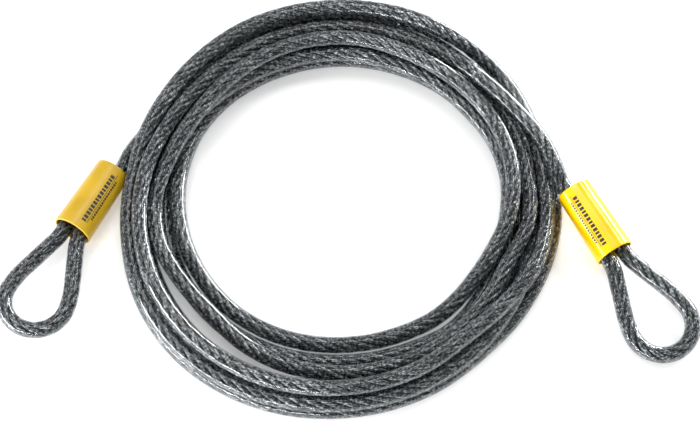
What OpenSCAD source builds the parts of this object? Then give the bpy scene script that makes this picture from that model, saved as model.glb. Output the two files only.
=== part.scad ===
// Double-loop steel security cable, coiled for storage.
// A wire rope in a clear jacket runs from one crimped end loop, round the coil, to the other.
// +Z is up, the coil lies flat on z = 0, and the origin is under the middle of the whole object.

/* [Cable] */
// Diameter over the clear jacket
cable_d = 10; // [9.6:0.1:10.4]
// Diameter of the steel wire rope inside the jacket
rope_d = 7.8; // [7.2:0.1:7.8]
// Gap left round each strand of the rope
strand_gap = 0.16; // [0.1:0.02:0.3]
// Length in which a strand goes once round the rope
rope_lay = 52; // [45:1:70]

/* [Coil] */
// Outer diameter of the coiled bundle
coil_d = 260; // [240:1:280]
// Width of the bundle, across the turns
bundle_w = 40; // [30:0.5:45]
// Height of the bundle
bundle_h = 27.6; // [22:0.2:34]
// Rounding of the bundle's corners
bundle_r = 9; // [5:0.5:10]

/* [End loops] */
// Outer width of an end loop
loop_w = 47; // [44:0.5:52]
// Angle that each leg of a loop spreads by
loop_spread = 20; // [18:0.5:24]
// Sideways lean of the left loop
loop_lean_left = 6.5; // [1:0.5:10]
// Straight stretch before the right loop spreads
loop_neck_right = 6; // [2:0.5:10]

/* [Ferrules] */
// Length of a crimped ferrule
ferrule_l = 26; // [22:1:27]
// Height of a ferrule across its flats
ferrule_h = 12; // [11:0.5:14]
// Metal left beside each bore
ferrule_wall = 1.1; // [0.9:0.1:1.1]
// Depth of the crimp marks
crimp_depth = 0.5; // [0.3:0.1:0.8]

/* [Sleeves] */
// Length of a sleeve
sleeve_l = 46; // [44:0.5:50]
// Outer diameter of a sleeve at its open mouth
sleeve_mouth_d = 23.6; // [23.4:0.1:24.6]
// Outer diameter of a sleeve at the tail end
sleeve_tail_d = 21; // [20.8:0.1:22]
// Wall of a sleeve
sleeve_wall = 1.2; // [1:0.1:1.2]

/* [Hidden] */
$fn = 64;

// Place of the coil's centre in the part's frame
COIL_X = -4.5;

// Each end, from the coil's centre: the middle of the sleeve's mouth, its azimuth and its pitch
MOUTH_LEFT = [-157.8, -12.6, 12];
AZIMUTH_LEFT = -119.4;
PITCH_LEFT = 1.5;
MOUTH_RIGHT = [160.1, -27, 12.2];
AZIMUTH_RIGHT = -59.3;
PITCH_RIGHT = -5.7;

// Routes of the two tails, from the coil's centre, after they leave the ferrules
ROUTE_LEFT = [[-119, 45.5, 8.4], [-108.5, 60, 6.6], [-98, 73, 5.6]];
ROUTE_RIGHT = [[122, 32.5, 20.5], [114, 46.5, 22], [106, 58.5, 22.4]];

strands = 6;
strand_d = rope_d / 3 - strand_gap;
strand_pitch_r = rope_d / 2 - strand_d / 2 - 0.03;
strand_sides = 6;
tube_sides = 12;
ring_step = 5.6;
bore_pitch = rope_d + 0.4;
leg_pitch = cable_d + 0.2;

// Stations along an end's axis, from the sleeve's mouth at 0 back towards the coil
ferrule_front = -14;
tail_face = ferrule_front - ferrule_l - 2.5;
dead_end_face = tail_face + 0.5;
straight_run = 3;

// Arcs of the cable in an end: radii and angles
ease_r = 20;
ease_a = acos(1 - (leg_pitch - bore_pitch) / 4 / ease_r);
lean_r = 40;
spread_r = 30;
shoulder_r = 60;
shoulder_a = 14;
tip_r = (loop_w - cable_d) / 2;
tip_a = loop_spread - shoulder_a;
leg_l = (tip_r * cos(tip_a) - leg_pitch / 2 - spread_r * (1 - cos(loop_spread))
        - shoulder_r * (cos(tip_a) - cos(loop_spread))) / sin(loop_spread);

function arc_l(r, a) = r * abs(a) * PI / 180;
function arc(r, a) = [arc_l(r, a), a];

// A run is a list of [length, turn] pieces in the loop's plane; a positive turn goes left.
// The spread, straight, shoulder and tip of a loop, from one leg to the other
teardrop = [
    arc(spread_r, loop_spread), [leg_l, 0], arc(shoulder_r, -shoulder_a),
    arc(tip_r, -180 - 2 * tip_a),
    arc(shoulder_r, -shoulder_a), [leg_l, 0], arc(spread_r, loop_spread)
];

// The jacketed run outside the ferrule: leaning when lean is over 0, else with a straight neck
function loop_run(lean, neck) = lean > 0
    ? concat([arc(lean_r - leg_pitch / 2, lean)], teardrop, [arc(lean_r + leg_pitch / 2, -lean)])
    : concat([[neck, 0]], teardrop, [[neck, 0]]);

// The whole run of the rope, from the tail through the ferrule, round the loop and back
function rope_run(lean, neck) = concat(
    [[ferrule_front - tail_face, 0], arc(ease_r, ease_a), arc(ease_r, -ease_a)],
    loop_run(lean, neck),
    [arc(ease_r, -ease_a), arc(ease_r, ease_a), [ferrule_front - dead_end_face, 0]]
);

// A pose is [x, y, heading]; advance moves it along a piece of a run
function advance(p, len, turn) = turn == 0
    ? [p[0] + len * cos(p[2]), p[1] + len * sin(p[2]), p[2]]
    : let (r = len / (turn * PI / 180))
      [p[0] + r * (sin(p[2] + turn) - sin(p[2])), p[1] + r * (cos(p[2]) - cos(p[2] + turn)), p[2] + turn];

// The pose at the start of each piece of a run, and at its end
function poses(run, p, i = 0) = i == len(run)
    ? [p]
    : concat([p], poses(run, advance(p, run[i][0], run[i][1]), i + 1));

function starts_at(run, i) = i == 0 ? 0 : run[i - 1][0] + starts_at(run, i - 1);

// Evenly spaced [x, y, heading, distance] samples of a run, about ring_step apart
function samples(run, p) = let (at = poses(run, p), last = len(run) - 1) concat(
    [for (i = [0:last], n = ceil(run[i][0] / ring_step), k = [0:n - 1])
        let (part = run[i][0] * k / n)
        concat(advance(at[i], part, run[i][1] * k / n), [starts_at(run, i) + part])],
    [concat(at[last + 1], [starts_at(run, last + 1)])]
);

rope_start = [tail_face, bore_pitch / 2, 0];
jacket_start = [ferrule_front + 2 * ease_r * sin(ease_a), leg_pitch / 2, 0];

// The two triangles of each patch between neighbouring rings, with point numbers from base on
function patches(rings, sides, base) = [
    for (i = [0:rings - 2], k = [0:sides - 1])
        let (a = base + i * sides + k, b = base + i * sides + (k + 1) % sides)
        each [[a, a + sides, b], [b, a + sides, b + sides]]
];

function flipped(faces) = [for (f = faces) [f[0], f[2], f[1]]];

// A closed skin over equal rings of points
module skin(rings) {
    sides = len(rings[0]);
    last = len(rings) - 1;
    polyhedron(
        points = [for (ring = rings) each ring],
        faces = concat(
            [[for (k = [0:sides - 1]) k]],
            [[for (k = [sides - 1:-1:0]) last * sides + k]],
            patches(len(rings), sides, 0)
        )
    );
}

// The wall between two such skins, open at both ends
module wall(outer, inner) {
    sides = len(outer[0]);
    far = (len(outer) - 1) * sides;
    all = len(outer) * sides;
    polyhedron(
        points = [for (ring = concat(outer, inner)) each ring],
        faces = concat(
            patches(len(outer), sides, 0),
            flipped(patches(len(outer), sides, all)),
            [for (k = [0:sides - 1], near = [0, 1])
                let (
                    a = near * far + k,
                    b = near * far + (k + 1) % sides,
                    f = near == 0
                        ? [[a, b, a + all], [b, b + all, a + all]]
                        : [[b, a, a + all], [b, a + all, b + all]]
                )
                each f]
        )
    );
}

// The ring of a round section of radius r, whose middle is off the run by an angle and a distance
function section(s, r, sides, off_a = 0, off_r = 0) = [
    for (k = [0:sides - 1])
        let (
            b = 360 * k / sides,
            side = off_r * cos(off_a) + r * cos(b),
            up = off_r * sin(off_a) + r * sin(b)
        )
        [s[0] - side * sin(s[2]), s[1] + side * cos(s[2]), up]
];

// A tube through route points, with its first ring square to the direction it starts in
module route_tube(points, first) {
    last = len(points) - 1;
    skin([for (i = [0:last])
        let (
            way = i == 0 ? first : points[min(i + 1, last)] - points[i - 1],
            t = way / norm(way),
            flat = cross([0, 0, 1], t),
            side = flat / norm(flat),
            up = cross(t, side)
        )
        [for (k = [0:tube_sides - 1])
            let (a = 360 * k / tube_sides)
            points[i] + cable_d / 2 * (cos(a) * side + sin(a) * up)]]);
}

// Where an end's local point lies, from the coil's centre
function placed(p, mouth, az, pitch) = let (
        x = p[0] * cos(pitch) - p[2] * sin(pitch),
        z = p[0] * sin(pitch) + p[2] * cos(pitch)
    ) mouth + [x * cos(az) - p[1] * sin(az), x * sin(az) + p[1] * cos(az), z];

// A tail's whole route: out of the ferrule, straight for a little, then along its own points
function tail_route(side, mouth, az, pitch, route) = concat(
    [for (x = [tail_face, tail_face - straight_run]) placed([x, side * bore_pitch / 2, 0], mouth, az, pitch)],
    route
);

module tail(side, mouth, az, pitch, route) {
    points = tail_route(side, mouth, az, pitch, route);
    route_tube(points, points[1] - points[0]);
}

module at_left() {
    translate(MOUTH_LEFT) rotate([0, -PITCH_LEFT, AZIMUTH_LEFT]) children();
}

// The right end is built as the mirror image of the left one
module at_right() {
    translate(MOUTH_RIGHT) rotate([0, -PITCH_RIGHT, AZIMUTH_RIGHT]) mirror([0, 1, 0]) children();
}

module on_coil() {
    translate([COIL_X, 0, 0]) children();
}

// Rounded section of the bundle, standing on the floor
module bundle_section() {
    translate([coil_d / 2 - bundle_w, 0]) {
        translate([bundle_r, 0]) square([bundle_w - 2 * bundle_r, bundle_h]);
        translate([0, bundle_r]) square([bundle_w, bundle_h - 2 * bundle_r]);
        for (x = [bundle_r, bundle_w - bundle_r], y = [bundle_r, bundle_h - bundle_r])
            translate([x, y]) circle(bundle_r);
    }
}

// The coiled length of the cable, as the outer shape of its bundle
module cable_coil() {
    color("dimgray") on_coil() rotate_extrude($fn = 180) bundle_section();
}

module cable_tail_left() {
    color("dimgray") on_coil() tail(1, MOUTH_LEFT, AZIMUTH_LEFT, PITCH_LEFT, ROUTE_LEFT);
}

module cable_tail_right() {
    color("dimgray") on_coil() tail(-1, MOUTH_RIGHT, AZIMUTH_RIGHT, PITCH_RIGHT, ROUTE_RIGHT);
}

// The clear jacket of a loop, open at both ends where the rope goes on into the ferrule
module loop_jacket(lean, neck) {
    stations = samples(loop_run(lean, neck), jacket_start);
    bore_r = rope_d / 2 / cos(180 / tube_sides);
    color("slategray", 0.5) wall(
        [for (s = stations) section(s, cable_d / 2, tube_sides)],
        [for (s = stations) section(s, bore_r, tube_sides)]
    );
}

module core_strand(lean, neck) {
    color("lightgray")
        skin([for (s = samples(rope_run(lean, neck), rope_start)) section(s, strand_d / 2, strand_sides)]);
}

// The strands that wind round the core; hand is 1 for a right-hand lay, and -1 where the end is mirrored
module outer_strands(lean, neck, hand) {
    stations = samples(rope_run(lean, neck), rope_start);
    color("silver")
        for (k = [0:strands - 1])
            skin([for (s = stations)
                let (a = hand * 360 * (k / strands + s[3] / rope_lay))
                section(s, strand_d / 2, strand_sides, a, strand_pitch_r)]);
}

// The pressed double-barrel ferrule: two bores side by side and crimp marks across both flats
module ferrule() {
    lobe_x = bore_pitch / 2 + rope_d / 2 + ferrule_wall - ferrule_h / 2;
    crimp_r = 9;
    crimps = 3;
    color("gainsboro") difference() {
        union() {
            for (s = [-1, 1])
                translate([ferrule_front - ferrule_l, s * lobe_x, 0])
                    rotate([0, 90, 0]) cylinder(h = ferrule_l, d = ferrule_h);
            translate([ferrule_front - ferrule_l, -lobe_x, -ferrule_h / 2])
                cube([ferrule_l, 2 * lobe_x, ferrule_h]);
        }
        for (s = [-1, 1])
            translate([ferrule_front - ferrule_l - 1, s * bore_pitch / 2, 0])
                rotate([0, 90, 0]) cylinder(h = ferrule_l + 2, d = rope_d);
        for (i = [0:crimps - 1], s = [-1, 1])
            translate([
                ferrule_front - ferrule_l * (i + 0.5) / crimps,
                -ferrule_h,
                s * (ferrule_h / 2 - crimp_depth + crimp_r)
            ]) rotate([-90, 0, 0]) cylinder(h = 2 * ferrule_h, r = crimp_r);
    }
}

// The vinyl sleeve over the ferrule, a little wider at its mouth
module sleeve() {
    mouth_r = sleeve_mouth_d / 2;
    tail_r = sleeve_tail_d / 2;
    color("gold") rotate([0, -90, 0]) rotate_extrude($fn = 96) polygon([
        [mouth_r - sleeve_wall, 0], [mouth_r, 0],
        [tail_r, sleeve_l], [tail_r - sleeve_wall, sleeve_l]
    ]);
}

module loop_jacket_left() { on_coil() at_left() loop_jacket(loop_lean_left, 0); }
module loop_jacket_right() { on_coil() at_right() loop_jacket(0, loop_neck_right); }
module core_strand_left() { on_coil() at_left() core_strand(loop_lean_left, 0); }
module core_strand_right() { on_coil() at_right() core_strand(0, loop_neck_right); }
module outer_strands_left() { on_coil() at_left() outer_strands(loop_lean_left, 0, 1); }
module outer_strands_right() { on_coil() at_right() outer_strands(0, loop_neck_right, -1); }
module ferrule_left() { on_coil() at_left() ferrule(); }
module ferrule_right() { on_coil() at_right() ferrule(); }
module sleeve_left() { on_coil() at_left() sleeve(); }
module sleeve_right() { on_coil() at_right() sleeve(); }

cable_coil();
cable_tail_left();
cable_tail_right();
loop_jacket_left();
loop_jacket_right();
core_strand_left();
core_strand_right();
outer_strands_left();
outer_strands_right();
ferrule_left();
ferrule_right();
sleeve_left();
sleeve_right();
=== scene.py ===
import math

import bpy
import numpy as np
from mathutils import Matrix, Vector


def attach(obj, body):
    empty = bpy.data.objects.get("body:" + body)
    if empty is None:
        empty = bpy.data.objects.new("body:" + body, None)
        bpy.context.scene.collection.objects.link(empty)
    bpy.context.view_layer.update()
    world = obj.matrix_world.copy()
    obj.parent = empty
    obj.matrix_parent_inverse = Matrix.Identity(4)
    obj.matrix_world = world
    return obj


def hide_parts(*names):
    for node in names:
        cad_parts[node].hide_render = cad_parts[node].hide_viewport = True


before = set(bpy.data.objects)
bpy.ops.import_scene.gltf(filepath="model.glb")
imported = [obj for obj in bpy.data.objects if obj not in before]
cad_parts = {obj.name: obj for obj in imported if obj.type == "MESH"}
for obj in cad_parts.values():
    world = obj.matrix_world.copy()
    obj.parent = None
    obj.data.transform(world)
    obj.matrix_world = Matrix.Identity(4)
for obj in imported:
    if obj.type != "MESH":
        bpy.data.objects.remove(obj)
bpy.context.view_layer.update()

MM = 0.001
COIL_X = -4.5
CABLE_D = 10.0
JACKET_BORE_R = 4.78
ROPE_D = 7.8
SEEN_LARGER = 1.21  # how much the clear jacket magnifies the rope inside it
ROPE_LAY = 52.0
STRANDS = 6
STRAND_D = ROPE_D / 3 - 0.16
STRAND_PITCH_R = ROPE_D / 2 - STRAND_D / 2 - 0.03
WIRES = 6
WIRE_LAY = 17.0
BORE_PITCH = ROPE_D + 0.4
LEG_PITCH = CABLE_D + 0.2

# Stations along an end's axis, from the sleeve's mouth at 0 back towards the coil
FERRULE_FRONT = -14.0
FERRULE_L = 26.0
TAIL_FACE = FERRULE_FRONT - FERRULE_L - 2.5
DEAD_END_FACE = TAIL_FACE + 0.5
SLEEVE_L = 46.0
SLEEVE_MOUTH_R = 11.8
SLEEVE_TAIL_R = 10.5
SLEEVE_WALL = 1.2


def cos_d(a):
    return math.cos(math.radians(a))


def sin_d(a):
    return math.sin(math.radians(a))


# Arcs of the cable in an end
EASE_R = 20.0
EASE_A = math.degrees(math.acos(1 - (LEG_PITCH - BORE_PITCH) / 4 / EASE_R))
LEAN_R = 40.0
SPREAD_R = 30.0
SPREAD_A = 20.0
SHOULDER_R = 60.0
SHOULDER_A = 14.0
TIP_R = (47.0 - CABLE_D) / 2
TIP_A = SPREAD_A - SHOULDER_A
LEG_L = (
    TIP_R * cos_d(TIP_A)
    - LEG_PITCH / 2
    - SPREAD_R * (1 - cos_d(SPREAD_A))
    - SHOULDER_R * (cos_d(TIP_A) - cos_d(SPREAD_A))
) / sin_d(SPREAD_A)

LEFT = dict(
    mouth=(-157.8, -12.6, 12.0), azimuth=-119.4, pitch=1.5, side=1, lean=6.5, neck=0.0,
    route=[(-119, 45.5, 8.4), (-108.5, 60, 6.6), (-98, 73, 5.6)],
)
RIGHT = dict(
    mouth=(160.1, -27, 12.2), azimuth=-59.3, pitch=-5.7, side=-1, lean=0.0, neck=6.0,
    route=[(122, 32.5, 20.5), (114, 46.5, 22), (106, 58.5, 22.4)],
)


# ---------------------------------------------------------------- camera
PHOTO_ELEVATION = 65
DISTANCE = 1.5
LENS = 131.2
SENSOR = 36
TARGET = Vector((0.0008, 0.0, 0.0138))
camera_data = bpy.data.cameras.new("camera")
camera_data.sensor_width = SENSOR
camera_data.lens = LENS
camera = bpy.data.objects.new("camera", camera_data)
bpy.context.scene.collection.objects.link(camera)
camera.location = TARGET + DISTANCE * Vector((0, -cos_d(PHOTO_ELEVATION), sin_d(PHOTO_ELEVATION)))
camera.rotation_euler = (math.radians(90 - PHOTO_ELEVATION), 0, 0)
bpy.context.scene.camera = camera


# ---------------------------------------------------------------- the cable's line
def placed(p, end):
    """Where an end's local point lies, from the coil's centre."""
    x = p[0] * cos_d(end["pitch"]) - p[2] * sin_d(end["pitch"])
    z = p[0] * sin_d(end["pitch"]) + p[2] * cos_d(end["pitch"])
    a, m = end["azimuth"], end["mouth"]
    return np.array([
        m[0] + x * cos_d(a) - p[1] * sin_d(a),
        m[1] + x * sin_d(a) + p[1] * cos_d(a),
        m[2] + z,
    ])


def arc(radius, angle):
    return radius * math.radians(abs(angle)), angle


def run_of(end):
    """An end's run as (length, turn) pieces: through the ferrule, round the loop and back."""
    drop = [
        arc(SPREAD_R, SPREAD_A), (LEG_L, 0), arc(SHOULDER_R, -SHOULDER_A),
        arc(TIP_R, -180 - 2 * TIP_A),
        arc(SHOULDER_R, -SHOULDER_A), (LEG_L, 0), arc(SPREAD_R, SPREAD_A),
    ]
    if end["lean"] > 0:
        loop = [arc(LEAN_R - LEG_PITCH / 2, end["lean"]), *drop, arc(LEAN_R + LEG_PITCH / 2, -end["lean"])]
    else:
        loop = [(end["neck"], 0), *drop, (end["neck"], 0)]
    way_in = [(FERRULE_FRONT - TAIL_FACE, 0), arc(EASE_R, EASE_A), arc(EASE_R, -EASE_A)]
    way_out = [arc(EASE_R, -EASE_A), arc(EASE_R, EASE_A), (FERRULE_FRONT - DEAD_END_FACE, 0)]
    return way_in + loop + way_out


def end_line(end, step=1.2):
    """(points from the tail face round the loop to the dead end, their distances along the run)."""
    x, y, h = TAIL_FACE, BORE_PITCH / 2, 0.0
    flat = []
    for length, turn in run_of(end):
        n = max(1, math.ceil(length / step))
        r = length / math.radians(turn) if turn else 0.0

        def at(share):
            if not turn:
                return x + length * share * cos_d(h), y + length * share * sin_d(h)
            t = h + turn * share
            return x + r * (sin_d(t) - sin_d(h)), y + r * (cos_d(h) - cos_d(t))

        flat += [at(k / n) for k in range(n)]
        x, y = at(1)
        h += turn
    flat.append((x, y))
    return np.array([placed((px, py * end["side"], 0), end) for px, py in flat])


def smooth(x, y, at):
    """A smooth curve through the values y at x."""
    x, y = np.asarray(x, float), np.asarray(y, float)
    h = np.diff(x)
    slope = np.diff(y, axis=0) / h[:, None]
    m = np.empty_like(y)
    m[1:-1] = (slope[:-1] * h[1:, None] + slope[1:] * h[:-1, None]) / (h[:-1] + h[1:])[:, None]
    m[0], m[-1] = slope[0], slope[-1]
    i = np.clip(np.searchsorted(x, at, side="right") - 1, 0, len(h) - 1)
    t, w = ((at - x[i]) / h[i])[:, None], h[i][:, None]
    return (
        (2 * t**3 - 3 * t**2 + 1) * y[i]
        + (t**3 - 2 * t**2 + t) * w * m[i]
        + (3 * t**2 - 2 * t**3) * y[i + 1]
        + (t**3 - t**2) * w * m[i + 1]
    )


def distances(line):
    return np.concatenate([[0], np.cumsum(np.linalg.norm(np.diff(line, axis=0), axis=1))])


def resampled(line, step):
    """The line again on a smooth curve, with points step apart."""
    along = distances(line)
    return smooth(along, line, np.linspace(0, along[-1], max(2, math.ceil(along[-1] / step) + 1)))


# Each turn of the coil as (radius, height) of its middle at these azimuths, going clockwise seen from above
START_AZIMUTH = 141
AZIMUTHS = [141, 115, 90, 65, 40, 17, 0, -20, -45, -66, -90, -115, -140, -180]
TURNS = [
    [(125.6, 5.2), (126.5, 5), (127, 5), (126, 5), (126, 5), (125.5, 5), (125.5, 5),
     (121.6, 5), (117.4, 5), (119.2, 5), (121.7, 5), (125.3, 5), (127.5, 5), (126, 5.5)],
    [(125.8, 15), (129.5, 14.5), (130.8, 14), (125.6, 14.7), (120.6, 14.8), (117.6, 14.9), (115.6, 15),
     (105.2, 15.1), (104.3, 14.5), (102.5, 13.3), (102.2, 13), (101.8, 13), (100.5, 15), (112, 14.5)],
    [(105.5, 25), (109, 24), (111, 23), (107.5, 23.5), (106.5, 23), (104.5, 24.1), (101, 22.2),
     (93.2, 14.9), (87.1, 5), (83.4, 5), (82.3, 5), (84.5, 5), (88.7, 5), (98.1, 11.3)],
    [(105.9, 5), (105.7, 5), (105.9, 5), (105.8, 5), (105.9, 5), (105.3, 5), (105.3, 5),
     (105, 5), (107.3, 5), (109, 5), (111.5, 5), (114.5, 5), (115, 5.5), (115.9, 5)],
    [(106.8, 15), (104.5, 15), (104.3, 15), (102.5, 14.6), (101.3, 14.6), (101.8, 14.4), (98.6, 12.4),
     (95, 5), (97.2, 5), (93.6, 5), (92.6, 5), (95, 5), (98.9, 5), (105.8, 5)],
    [(115.5, 5), (116.2, 5), (116.7, 5), (115.9, 5), (116, 5), (115.4, 5), (115.4, 5),
     (115, 12.6), (117.2, 15), (119.2, 15), (121.7, 15), (125.3, 15), (127.4, 15), (125.8, 15)],
    [(125.6, 25), (129.8, 24.5), (131, 24), (130.5, 23.5), (131.6, 15.2), (128.2, 14.9), (125.8, 15),
     (120.8, 20.8), (111.3, 22.8), (112.9, 22.8), (115.2, 22.6), (117.8, 22.5), (119.5, 23), (118.8, 21.9)],
    [(116.4, 18.3), (119.5, 17), (120.8, 16.5), (117, 20.2), (116.4, 24.8)],
]
# The largest radius of any turn's middle at the same azimuths, and where the left tail passes under
OUTERMOST = [126, 129.8, 131.2, 130.5, 132, 128.4, 126, 121.8, 117.5, 119.3, 121.8, 125.4, 127.6, 126.3]
PASS_UNDER = (162, 124.4)
FLOOR_Z = CABLE_D / 2
CONTACT = CABLE_D + 0.06
SLEEVE_GAP = 0.15
POINT_STEP = 5.0

# Settling, in points of the line: the ends that stay put, the stretch over which they begin to give, the
# points at each end that the outer side doesn't bound, the ones that may touch their own sleeve, and how
# many points apart two places are before they count as different turns
PINNED = 3
GIVE_OVER = 6.0
UNBOUND = (38, 34)
IN_SLEEVE = 12
SAME_TURN = 12
ROUNDS = 520
LOOK_AGAIN = 15
NEAR = 16.0
NEAR_ALONG = 3.2
OVER_PUSH = 1.3
PULL_BACK = 0.998
PULLED_ROUNDS = 0.7
LAST_PUSHES = 12


# Points on the way from the tables to the line: an angle step in degrees, which of those points guide the
# curve, how many fine points go to each of them, and the tails' straight start behind their ferrules in mm
ANGLE_STEP = 2.5
FIRST_STATION = 4
STATION_EVERY = 6
FINE = 12
STRAIGHT_OUT = (0, 4, 9, 14)


def first_line():
    """The line through the stations and the tails' routes, before its turns settle against each other."""
    angles = [360 * k + START_AZIMUTH - a for k, row in enumerate(TURNS) for a in AZIMUTHS[: len(row)]]
    values = [v for row in TURNS for v in row]
    at = np.arange(angles[0], angles[-1], ANGLE_STEP)
    polar = smooth(angles, values, at)
    a = np.radians(START_AZIMUTH - at)
    coil = np.stack([polar[:, 0] * np.cos(a), polar[:, 0] * np.sin(a), polar[:, 1]], axis=1)
    tails = [
        [placed((TAIL_FACE - d, end["side"] * BORE_PITCH / 2, 0), end) for d in STRAIGHT_OUT]
        + end["route"][:2]
        for end in (LEFT, RIGHT)
    ]
    control = np.concatenate([tails[0], coil[FIRST_STATION::STATION_EVERY], tails[1][::-1]])
    chord = np.concatenate([[0], np.cumsum(np.sqrt(np.linalg.norm(np.diff(control, axis=0), axis=1)))])
    fine = smooth(chord, control, np.linspace(0, chord[-1], FINE * len(chord)))
    return resampled(fine, POINT_STEP)


def held_off(x, free, end):
    """Keeps the turns outside a sleeve."""
    mouth, tail = placed((0, 0, 0), end), placed((-SLEEVE_L, 0, 0), end)
    axis = mouth - tail
    share = np.clip((x - tail) @ axis / (axis @ axis), 0, 1)
    off = x - tail - share[:, None] * axis
    away = np.linalg.norm(off, axis=1)
    need = SLEEVE_TAIL_R + share * (SLEEVE_MOUTH_R - SLEEVE_TAIL_R) + CABLE_D / 2 + SLEEVE_GAP
    hit = (away < need) & free
    x[hit] += off[hit] * (need[hit] / away[hit] - 1)[:, None]
    return x


def settled(x):
    """The line with its turns a diameter apart, on the floor and inside the bundle's outer side."""
    start, n = x.copy(), len(x)
    i = np.arange(n)
    weight = np.clip(np.minimum(i - PINNED + 1, n - PINNED - i) / GIVE_OVER, 0, 1)
    moves = weight > 0
    body = (i > UNBOUND[0]) & (i < n - UNBOUND[1])
    clear_of_sleeves = (i > IN_SLEEVE) & (i < n - IN_SLEEVE)
    azimuths = AZIMUTHS[::-1] + [PASS_UNDER[0], 180]
    limits = OUTERMOST[::-1] + [PASS_UNDER[1], OUTERMOST[-1]]

    def bounded(p):
        p[moves, 2] = np.maximum(p[moves, 2], FLOOR_Z)
        r = np.hypot(p[:, 0], p[:, 1])
        azimuth = np.degrees(np.arctan2(p[:, 1], p[:, 0]))
        most = np.interp(azimuth, azimuths, limits)
        out = (r > most) & body
        p[out, :2] *= (most[out] / r[out])[:, None]
        for end in (LEFT, RIGHT):
            p = held_off(p, clear_of_sleeves, end)
        return p

    for k in range(ROUNDS):
        if k % LOOK_AGAIN == 0:
            apart = ((x[:, None] - x[None]) ** 2).sum(2)
            a, b = np.where((apart < NEAR**2) & (i[None] - i[:, None] > SAME_TURN))
            share_a = weight[a] / np.maximum(weight[a] + weight[b], 1e-6)
        way = np.gradient(x, axis=0)
        way /= np.linalg.norm(way, axis=1)[:, None]
        both = way[a] + way[b]
        both /= np.linalg.norm(both, axis=1)[:, None]
        gap = x[b] - x[a]
        along = (gap * both).sum(1)
        gap -= along[:, None] * both
        far = np.linalg.norm(gap, axis=1)
        hit = (np.abs(along) < NEAR_ALONG) & (far < CONTACT)
        push = (CONTACT - far[hit])[:, None] * gap[hit] / np.maximum(far[hit], 1e-6)[:, None]
        move, count = np.zeros_like(x), np.zeros(n)
        np.add.at(move, a[hit], -push * share_a[hit][:, None])
        np.add.at(move, b[hit], push * (1 - share_a[hit])[:, None])
        np.add.at(count, a[hit], 1)
        np.add.at(count, b[hit], 1)
        x = bounded(x + OVER_PUSH * move / np.maximum(count, 1)[:, None])
        if k < ROUNDS - LAST_PUSHES:
            u = x - start
            for _ in range(2):
                mean = u.copy()
                mean[1:-1] = (u[:-2] + u[2:]) / 2
                u += 0.5 * (mean - u) * weight[:, None]
            if k < PULLED_ROUNDS * ROUNDS:
                u *= PULL_BACK
            x = bounded(start + u)
    return x


coil_line = settled(first_line())
left_line, right_line = end_line(LEFT), end_line(RIGHT)


def row_frame(line):
    """Metres in the row's frame, from millimetres from the coil's centre."""
    return (line + np.array([COIL_X, 0, 0])) * MM


# ---------------------------------------------------------------- meshes
def mesh_object(name, points, faces, smooth_shaded=True):
    """points in metres; faces is one array of quads or triangles, or a list of such arrays."""
    groups = faces if isinstance(faces, list) else [faces]
    sizes = np.concatenate([np.full(len(g), g.shape[1], np.int32) for g in groups])
    corners = np.concatenate([g.ravel() for g in groups]).astype(np.int32)
    mesh = bpy.data.meshes.new(name)
    mesh.vertices.add(len(points))
    mesh.vertices.foreach_set("co", np.asarray(points, np.float32).ravel())
    mesh.loops.add(len(corners))
    mesh.loops.foreach_set("vertex_index", corners)
    mesh.polygons.add(len(sizes))
    mesh.polygons.foreach_set("loop_start", np.concatenate([[0], np.cumsum(sizes)[:-1]]).astype(np.int32))
    mesh.polygons.foreach_set("use_smooth", np.full(len(sizes), smooth_shaded))
    mesh.update(calc_edges=True)
    mesh.validate()
    o = bpy.data.objects.new(name, mesh)
    bpy.context.scene.collection.objects.link(o)
    return o


def axes_of(line):
    """The way along a line, the level direction to its left, and the one square to both."""
    way = np.gradient(line, axis=0)
    way /= np.linalg.norm(way, axis=1)[:, None]
    side = np.cross([0, 0, 1.0], way)
    side /= np.linalg.norm(side, axis=1)[:, None]
    return way, side, np.cross(way, side)


def sheet_faces(rings, sides, base=0, inward=False):
    """Quads between neighbouring rings of points."""
    i = np.arange(rings - 1)[:, None] * sides
    k = np.arange(sides)[None]
    a, b = base + i + k, base + i + (k + 1) % sides
    quads = np.stack([a, a + sides, b + sides, b], axis=2).reshape(-1, 4)
    return quads[:, ::-1] if inward else quads


def joined(parts):
    """(points, list of face arrays) of several such pairs in one."""
    points, faces, base = [], [], 0
    for p, groups in parts:
        points.append(p)
        faces += [g + base for g in groups]
        base += len(p)
    return np.concatenate(points), faces


def tube_wall(line, outer, inner, sides):
    """A tube's wall along a line, closed by a ring at each end."""
    _, side, up = axes_of(line)
    b = np.linspace(0, 2 * np.pi, sides, endpoint=False)
    ring = np.cos(b)[None, :, None] * side[:, None] + np.sin(b)[None, :, None] * up[:, None]
    n = len(line)
    points = np.concatenate([(line[:, None] + r * ring).reshape(-1, 3) for r in (outer, inner)])
    k, far, base = np.arange(sides), (n - 1) * sides, n * sides
    j = (k + 1) % sides
    near_end = np.stack([k, j, j + base, k + base], axis=1)
    far_end = np.stack([j + far, k + far, k + far + base, j + far + base], axis=1)
    return points, [sheet_faces(n, sides), sheet_faces(n, sides, base, True), near_end, far_end]


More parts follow.
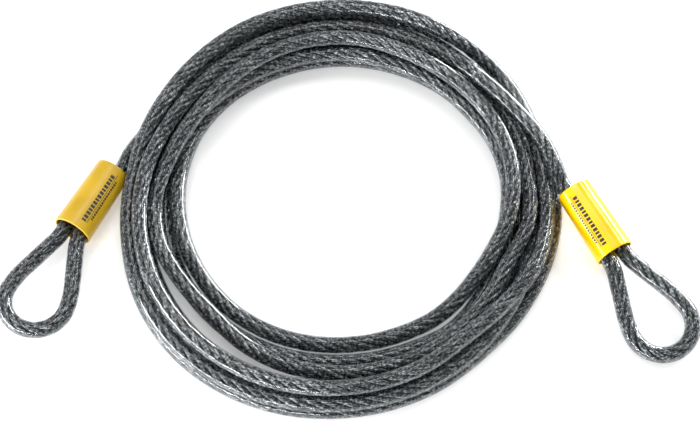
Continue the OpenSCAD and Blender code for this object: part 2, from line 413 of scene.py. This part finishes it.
def strand_skin(line, along, phase, pitch_r, outline, lay, wire_lay, grow):
    """A strand winding about a line; its outline is (angle, radius) points and winds the other way."""
    _, side, up = axes_of(line)
    a = phase + 2 * np.pi * along / lay
    middle = line + (grow * pitch_r)[:, None] * (np.cos(a)[:, None] * side + np.sin(a)[:, None] * up)
    way = np.gradient(middle, axis=0)
    way /= np.linalg.norm(way, axis=1)[:, None]
    across = np.cross([0, 0, 1.0], way)
    across /= np.linalg.norm(across, axis=1)[:, None]
    above = np.cross(way, across)
    b = outline[:, 0][None] + (phase - 2 * np.pi * along / wire_lay)[:, None]
    r = outline[:, 1][None] * grow[:, None]
    ring = (r * np.cos(b))[..., None] * across[:, None] + (r * np.sin(b))[..., None] * above[:, None]
    n, sides = len(line), len(outline)
    caps = [np.arange(sides)[None, ::-1], (np.arange(sides) + (n - 1) * sides)[None]]
    return (middle[:, None] + ring).reshape(-1, 3), [sheet_faces(n, sides), *caps]


def wire_outline(strand_r, wires):
    """A strand's section, wires laid round one wire, and how far each point stands out, from 0 to 1."""
    wire_r = strand_r / 3
    pitch = 2 * wire_r
    points, heights = [], []
    for k in range(wires):
        for b, height in ((-0.25, 1.0), (0.25, 1.0), (math.pi / wires, 0.0)):
            r = pitch * math.cos(b) + math.sqrt(max(0.0, wire_r**2 - (pitch * math.sin(b)) ** 2))
            points.append((2 * math.pi * k / wires + b, r))
            heights.append(height)
    return np.array(points), np.array(heights)


def painted(o, values):
    """Keeps how far each point of a strand stands out, for its material, which paints shade into the
    grooves from it.
    """
    attribute = o.data.attributes.new("stands_out", "FLOAT", "POINT")
    attribute.data.foreach_set("value", np.asarray(values, np.float32))


# ---------------------------------------------------------------- materials
def material(name):
    m = bpy.data.materials.new(name)
    m.use_nodes = True
    nodes = m.node_tree.nodes
    return m, nodes, m.node_tree.links, nodes["Principled BSDF"]


def noise(nodes, links, scale, detail):
    """A noise in the object's own coordinates, in metres; its value runs from 0 to 1."""
    place = nodes.new("ShaderNodeTexCoord")
    texture = nodes.new("ShaderNodeTexNoise")
    texture.inputs["Scale"].default_value = scale
    texture.inputs["Detail"].default_value = detail
    links.new(place.outputs["Object"], texture.inputs["Vector"])
    return texture.outputs[0]


def ramp(nodes, links, source, stops):
    """A colour ramp over a value: stops are (place, colour)."""
    node = nodes.new("ShaderNodeValToRGB")
    elements = node.color_ramp.elements
    while len(elements) < len(stops):
        elements.new(0.5)
    for element, (place, colour) in zip(elements, stops):
        element.position = place
        element.color = (*colour, 1)
    links.new(source, node.inputs["Fac"])
    return node.outputs["Color"]


def grey(v):
    return (v, v, v)


def ranged(nodes, links, source, low, high):
    """The source's middle values spread from low to high."""
    node = nodes.new("ShaderNodeMapRange")
    node.inputs["From Min"].default_value = 0.3
    node.inputs["From Max"].default_value = 0.7
    node.inputs["To Min"].default_value = low
    node.inputs["To Max"].default_value = high
    links.new(source, node.inputs["Value"])
    return node.outputs["Result"]


def bumped(nodes, links, source, shader, strength, distance):
    """Gives a shader fine relief from a value."""
    node = nodes.new("ShaderNodeBump")
    node.inputs["Strength"].default_value = strength
    node.inputs["Distance"].default_value = distance
    links.new(source, node.inputs["Height"])
    links.new(node.outputs["Normal"], shader.inputs["Normal"])


def jacket_material():
    """Clear smoky vinyl: tinted see-through with a glossy skin, a little hazy in places."""
    m, nodes, links, gloss = material("smoky_vinyl")
    cloud = noise(nodes, links, 90, 4)
    gloss.inputs["Base Color"].default_value = (0.96, 0.97, 0.97, 1)
    gloss.inputs["Metallic"].default_value = 1.0
    links.new(ranged(nodes, links, cloud, 0.05, 0.14), gloss.inputs["Roughness"])
    waves = noise(nodes, links, 300, 2)
    bumped(nodes, links, waves, gloss, 0.1, 0.0002)
    clear = nodes.new("ShaderNodeBsdfTransparent")
    tint = ramp(nodes, links, cloud, [(0.3, (0.74, 0.755, 0.765)), (0.7, (0.87, 0.88, 0.885))])
    links.new(tint, clear.inputs["Color"])
    edge = nodes.new("ShaderNodeLayerWeight")
    edge.inputs["Blend"].default_value = 0.36
    mirrored = nodes.new("ShaderNodeMapRange")
    mirrored.inputs["From Min"].default_value = 0.05
    mirrored.inputs["From Max"].default_value = 0.6
    mirrored.inputs["To Min"].default_value = 0.016
    mirrored.inputs["To Max"].default_value = 0.085
    links.new(edge.outputs["Fresnel"], mirrored.inputs["Value"])
    mix = nodes.new("ShaderNodeMixShader")
    links.new(mirrored.outputs["Result"], mix.inputs["Fac"])
    links.new(clear.outputs[0], mix.inputs[1])
    links.new(gloss.outputs[0], mix.inputs[2])
    links.new(mix.outputs[0], nodes["Material Output"].inputs["Surface"])
    return m


def steel_material():
    """Galvanised wire: pale along each wire, with painted shade darkening the grooves between wires to near
    black; duller and brighter in places.
    """
    m, nodes, links, metal = material("galvanised_wire")
    fine = noise(nodes, links, 650, 3)
    stands_out = nodes.new("ShaderNodeAttribute")
    stands_out.attribute_name = "stands_out"
    pale = ramp(nodes, links, fine, [
        (0.36, grey(0.04)), (0.5, (0.22, 0.23, 0.235)), (0.64, (0.84, 0.85, 0.86)),
    ])
    # painted shade: the colour darkens the lower a point lies between the wires, near black in the grooves
    groove_shade = ramp(nodes, links, stands_out.outputs["Fac"], [(0.35, grey(0.01)), (0.85, grey(1.0))])
    # the wire's colour with the painted groove shade multiplied in
    groove_shaded = nodes.new("ShaderNodeMix")
    groove_shaded.data_type = "RGBA"
    groove_shaded.blend_type = "MULTIPLY"
    groove_shaded.inputs["Factor"].default_value = 1.0
    links.new(pale, groove_shaded.inputs["A"])
    links.new(groove_shade, groove_shaded.inputs["B"])
    links.new(groove_shaded.outputs["Result"], metal.inputs["Base Color"])
    metal.inputs["Metallic"].default_value = 0.75
    links.new(ranged(nodes, links, fine, 0.45, 0.28), metal.inputs["Roughness"])
    return m


def vinyl_material(name, dark, main, light, rough):
    """Moulded vinyl: one colour with faint clouds and a fine orange-peel skin."""
    m, nodes, links, skin = material(name)
    cloud = noise(nodes, links, 60, 3)
    colour = ramp(nodes, links, cloud, [(0.3, dark), (0.5, main), (0.75, light)])
    links.new(colour, skin.inputs["Base Color"])
    links.new(ranged(nodes, links, cloud, rough[0], rough[1]), skin.inputs["Roughness"])
    skin.inputs["IOR"].default_value = 1.52
    skin.inputs["Coat Weight"].default_value = 0.08
    skin.inputs["Coat Roughness"].default_value = 0.12
    peel = noise(nodes, links, 900, 2)
    bumped(nodes, links, peel, skin, 0.12, 0.0001)
    return m


def ferrule_material():
    """Pressed aluminium, mottled by the dies."""
    m, nodes, links, metal = material("pressed_aluminium")
    grain = noise(nodes, links, 260, 4)
    links.new(
        ramp(nodes, links, grain, [(0.3, (0.50, 0.51, 0.52)), (0.7, (0.80, 0.81, 0.82))]),
        metal.inputs["Base Color"],
    )
    metal.inputs["Metallic"].default_value = 1.0
    links.new(ranged(nodes, links, grain, 0.48, 0.28), metal.inputs["Roughness"])
    bumped(nodes, links, grain, metal, 0.2, 0.0002)
    return m


def ink_material():
    """Black print, a little worn."""
    m, nodes, links, ink = material("print_ink")
    wear = noise(nodes, links, 1500, 2)
    links.new(
        ramp(nodes, links, wear, [(0.35, (0.012, 0.012, 0.014)), (0.8, (0.06, 0.055, 0.04))]),
        ink.inputs["Base Color"],
    )
    links.new(ranged(nodes, links, wear, 0.35, 0.5), ink.inputs["Roughness"])
    return m


# ---------------------------------------------------------------- jacket and rope
JACKET_SIDES = 24
JACKET_STEP = 4.6
LOOP_STEP = 2.4
WIRE_STEP = 1.7
CORE_STEP = 4.0
CORE_SIDES = 8
# The core's stands_out value, kept low so that the steel paints the whole core in shade, as it lies deep
# inside the rope
CORE_PAINTED_SHADE = 0.4
PATH_STEP = 4.0
COIL_STEP = 2.0
GROWS_OVER = 6  # the stretch, in mm, over which the rope comes to look larger
BARE_PAST_FERRULE = 4
BARE_PAST_TAIL = 2

JACKET = jacket_material()
STEEL = steel_material()


def jacketed(line):
    """The part of an end's line that is outside the ferrule, on the loop's side."""
    along = distances(line)
    first = FERRULE_FRONT - TAIL_FACE + 2 * EASE_R * math.radians(EASE_A)
    last = along[-1] - (FERRULE_FRONT - DEAD_END_FACE) - 2 * EASE_R * math.radians(EASE_A)
    keep = (along >= first - 0.5) & (along <= last + 0.5)
    return line[keep]


def jacket():
    """The jacket's three lengths: the coil with its tails, and the two loops."""
    lines = [resampled(coil_line, JACKET_STEP)]
    lines += [resampled(jacketed(line), LOOP_STEP) for line in (left_line, right_line)]
    points, faces = joined([
        tube_wall(row_frame(line), CABLE_D / 2 * MM, JACKET_BORE_R * MM, JACKET_SIDES) for line in lines
    ])
    o = mesh_object("cable_jacket", points, faces)
    o.data.materials.append(JACKET)
    return o


# The rope's whole line, from the left dead end to the right one
whole_line = np.concatenate([left_line[::-1], resampled(coil_line, COIL_STEP)[1:-1], right_line])


def magnified(along):
    """How large the rope looks along its run: larger under the clear jacket, true in the ferrules."""
    total = distances(whole_line)[-1]
    bare = FERRULE_FRONT - TAIL_FACE + BARE_PAST_FERRULE
    loop_l = [distances(line)[-1] for line in (left_line, right_line)]
    grow = np.full(len(along), SEEN_LARGER)
    into_coil = (along > loop_l[0]) & (along < total - loop_l[1])
    for bare_at in (0, loop_l[0], total - loop_l[1], total):
        past = np.where(into_coil, BARE_PAST_TAIL, bare)
        reach = np.clip((np.abs(along - bare_at) - past) / GROWS_OVER, 0, 1)
        grow = np.minimum(grow, 1 + (SEEN_LARGER - 1) * reach)
    return grow


def outer_strand(k):
    line = resampled(whole_line, WIRE_STEP)
    along = distances(line)
    outline, heights = wire_outline(STRAND_D / 2 * MM, WIRES)
    points, faces = strand_skin(
        row_frame(line), along * MM, 2 * math.pi * k / STRANDS,
        STRAND_PITCH_R * MM, outline, ROPE_LAY * MM, WIRE_LAY * MM, magnified(along),
    )
    o = mesh_object(f"rope_strand_{k + 1}", points, faces)
    painted(o, np.tile(heights, len(line)))
    o.data.materials.append(STEEL)
    return o


def core_strand():
    line = resampled(whole_line, CORE_STEP)
    b = np.linspace(0, 2 * np.pi, CORE_SIDES, endpoint=False)
    outline = np.stack([b, np.full(CORE_SIDES, STRAND_D / 2 * MM)], axis=1)
    along = distances(line)
    points, faces = strand_skin(row_frame(line), along * MM, 0.0, 0.0, outline, 1.0, 1.0, magnified(along))
    o = mesh_object("rope_core", points, faces)
    # painted shade over the whole core
    painted(o, np.full(len(points), CORE_PAINTED_SHADE))
    o.data.materials.append(STEEL)
    return o


cable_jacket = jacket()
strands = [outer_strand(k) for k in range(STRANDS)]
core = core_strand()


# ---------------------------------------------------------------- sleeves, print and ferrules
SLEEVE_SIDES = 96
RIM_AT = 2
PRINT_OUT = 0.05
PRINT_IN = -0.1
PRINT_STEP = 1.5
PRINT_COLUMNS = 5
MARKS_FROM = 5.5
BLOCKS = 14
DASHES = 17


def sleeve_profile():
    """(distance back from the mouth, radius) round the sleeve's wall, with rounded rims."""
    rim = SLEEVE_WALL / 2
    mouth = [
        (rim - rim * math.cos(t), SLEEVE_MOUTH_R - rim + rim * math.sin(t))
        for t in np.linspace(-math.pi / 2, math.pi / 2, 9)
    ]
    outside = [(d, outer_r(d)) for d in np.linspace(RIM_AT, SLEEVE_L - RIM_AT, 22)]
    tail = [
        (SLEEVE_L - rim + rim * math.sin(t), SLEEVE_TAIL_R - rim + rim * math.cos(t))
        for t in np.linspace(0, math.pi, 9)
    ]
    inside = [(d, outer_r(d) - SLEEVE_WALL) for d in np.linspace(SLEEVE_L - RIM_AT, RIM_AT, 12)]
    return mouth + outside + tail + inside


def outer_r(d):
    """The sleeve's outer radius d behind its mouth."""
    return SLEEVE_MOUTH_R + (SLEEVE_TAIL_R - SLEEVE_MOUTH_R) * d / SLEEVE_L


def on_sleeve(d, angle, r, end):
    """A point d behind a sleeve's mouth, at an angle round it and r from its axis, slightly wavy."""
    wave = 1 + 0.0035 * math.sin(2 * angle + d / 17) + 0.002 * math.sin(3 * angle - d / 9)
    return placed((-d, r * wave * math.cos(angle), r * wave * math.sin(angle)), end)


def sleeve(name, end, mat):
    sides = SLEEVE_SIDES
    profile = sleeve_profile()
    angles = np.linspace(0, 2 * np.pi, sides, endpoint=False)
    points = np.array([on_sleeve(d, a, r, end) for d, r in profile for a in angles])
    n = len(profile)
    i = np.arange(n)[:, None] * sides
    k = np.arange(sides)[None]
    up = (np.arange(n)[:, None] + 1) % n * sides
    quads = np.stack([i + k, i + (k + 1) % sides, up + (k + 1) % sides, up + k], axis=2).reshape(-1, 4)
    o = mesh_object(name, row_frame(points), quads)
    o.data.materials.append(mat)
    return o


def print_patch(end, d0, d1, a0, a1):
    """One printed mark: a thin patch on a sleeve, d0 to d1 behind the mouth and between two angles."""
    nd, na = max(2, int((d1 - d0) / PRINT_STEP) + 1), PRINT_COLUMNS
    rows = []
    for r_off in (PRINT_OUT, PRINT_IN):
        for d in np.linspace(d0, d1, nd):
            rows += [on_sleeve(d, a, outer_r(d) + r_off, end) for a in np.linspace(a0, a1, na)]
    points = row_frame(np.array(rows))

    def cell(i, j, layer):
        return layer * nd * na + i * na + j

    top = [(cell(i, j, 0), cell(i, j + 1, 0), cell(i + 1, j + 1, 0), cell(i + 1, j, 0))
           for i in range(nd - 1) for j in range(na - 1)]
    bottom = [(cell(i, j, 1), cell(i + 1, j, 1), cell(i + 1, j + 1, 1), cell(i, j + 1, 1))
              for i in range(nd - 1) for j in range(na - 1)]
    rim = [(i, 0) for i in range(nd)] + [(nd - 1, j) for j in range(1, na)]
    rim += [(i, na - 1) for i in range(nd - 2, -1, -1)] + [(0, j) for j in range(na - 2, 0, -1)]
    walls = [
        (cell(*here, 0), cell(*after, 0), cell(*after, 1), cell(*here, 1))
        for here, after in zip(rim, rim[1:] + rim[:1])
    ]
    return points, [np.array(top + bottom + walls)]


def printed(name, end, angle, sign):
    """A generic marking along the sleeve: a row of plain blocks, a thin rule and a row of dashes."""
    marks = []
    rad = 1 / SLEEVE_MOUTH_R
    d = MARKS_FROM
    for k in range(BLOCKS):
        width = 1.9 if k % 3 else 1.4
        marks.append((d, d + width, angle - 1.45 * rad, angle + 1.45 * rad))
        d += width + 0.75
    marks.append((MARKS_FROM, 41.0, angle + sign * 2.2 * rad, angle + sign * 2.55 * rad))
    d = 9.0
    for k in range(DASHES):
        width = 1.25 if k % 4 else 0.9
        marks.append((d, d + width, angle + sign * 3.3 * rad, angle + sign * 4.8 * rad))
        d += width + 0.55
    points, faces = joined([
        print_patch(end, d0, d1, min(a0, a1), max(a0, a1)) for d0, d1, a0, a1 in marks
    ])
    o = mesh_object(name, points, faces, smooth_shaded=False)
    o.data.materials.append(INK)
    return o


VINYL_LEFT = vinyl_material(
    "golden_vinyl", (0.48, 0.29, 0.006), (0.55, 0.34, 0.009), (0.61, 0.38, 0.014), (0.34, 0.46)
)
VINYL_RIGHT = vinyl_material(
    "yellow_vinyl", (0.80, 0.455, 0.0), (0.87, 0.52, 0.0), (0.90, 0.56, 0.002), (0.12, 0.22)
)
INK = ink_material()
ALUMINIUM = ferrule_material()

sleeve_left = sleeve("vinyl_sleeve_left", LEFT, VINYL_LEFT)
sleeve_right = sleeve("vinyl_sleeve_right", RIGHT, VINYL_RIGHT)
print_left = printed("sleeve_print_left", LEFT, math.radians(62), -1)
print_right = printed("sleeve_print_right", RIGHT, math.radians(118), 1)

for node in ("ferrule_left", "ferrule_right"):
    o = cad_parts[node]
    o.data.materials.clear()
    o.data.materials.append(ALUMINIUM)

# ---------------------------------------------------------------- stage
FLOOR_REACH = 3
FLOOR_DROP = 0.0004  # clear of the cable, which rests at 0
LIGHTS_AIM = Vector((0, 0, 0.01))


def floor_material():
    """A matt, nearly white floor that glows faintly, so that it shows almost no shadow."""
    m, nodes, links, shader = material("pale_floor")
    soft = noise(nodes, links, 6, 2)
    colour = ramp(nodes, links, soft, [(0.3, grey(0.93)), (0.7, grey(0.95))])
    links.new(colour, shader.inputs["Base Color"])
    shader.inputs["Roughness"].default_value = 0.9
    shader.inputs["Specular IOR Level"].default_value = 0.05
    shader.inputs["Emission Color"].default_value = (1, 1, 1, 1)
    shader.inputs["Emission Strength"].default_value = 0.3
    return m


corners = [(x * FLOOR_REACH, y * FLOOR_REACH, -FLOOR_DROP) for x, y in ((-1, -1), (1, -1), (1, 1), (-1, 1))]
floor = mesh_object("floor", np.array(corners), np.array([[0, 1, 2, 3]]))
floor.data.materials.append(floor_material())


def area_light(name, place, size, energy):
    """A white rectangular light that faces the coil and isn't seen itself."""
    data = bpy.data.lights.new(name, "AREA")
    data.shape = "RECTANGLE"
    data.size, data.size_y = size
    data.energy = energy
    o = bpy.data.objects.new(name, data)
    bpy.context.scene.collection.objects.link(o)
    o.location = place
    o.rotation_euler = (LIGHTS_AIM - Vector(place)).to_track_quat("-Z", "Y").to_euler()
    o.visible_camera = False


area_light("light_top", (-0.2, 0.45, 1.5), (1.2, 0.5), 9)
area_light("light_left", (-1.15, -0.65, 0.24), (1.2, 0.2), 25)
area_light("light_right", (0.85, 0.95, 0.26), (1.0, 0.2), 22)
area_light("light_front", (-0.55, -1.3, 0.22), (1.0, 0.2), 18)
area_light("light_back", (0.75, 0.6, 0.75), (0.6, 0.12), 4)

world = bpy.data.worlds.new("studio")
world.use_nodes = True
world.node_tree.nodes["Background"].inputs["Color"].default_value = (1, 1, 1, 1)
world.node_tree.nodes["Background"].inputs["Strength"].default_value = 0.5
bpy.context.scene.world = world
bpy.context.scene.view_settings.view_transform = "Standard"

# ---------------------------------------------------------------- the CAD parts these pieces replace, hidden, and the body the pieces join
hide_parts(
    "cable_coil", "cable_tail_left", "cable_tail_right", "loop_jacket_left", "loop_jacket_right"
)
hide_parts("core_strand_left", "core_strand_right")
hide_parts("outer_strands_left", "outer_strands_right")
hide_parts("sleeve_left")
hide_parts("sleeve_right")
for piece in (cable_jacket, core, *strands, sleeve_left, sleeve_right, print_left, print_right):
    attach(piece, "root")

path = row_frame(resampled(whole_line, PATH_STEP))
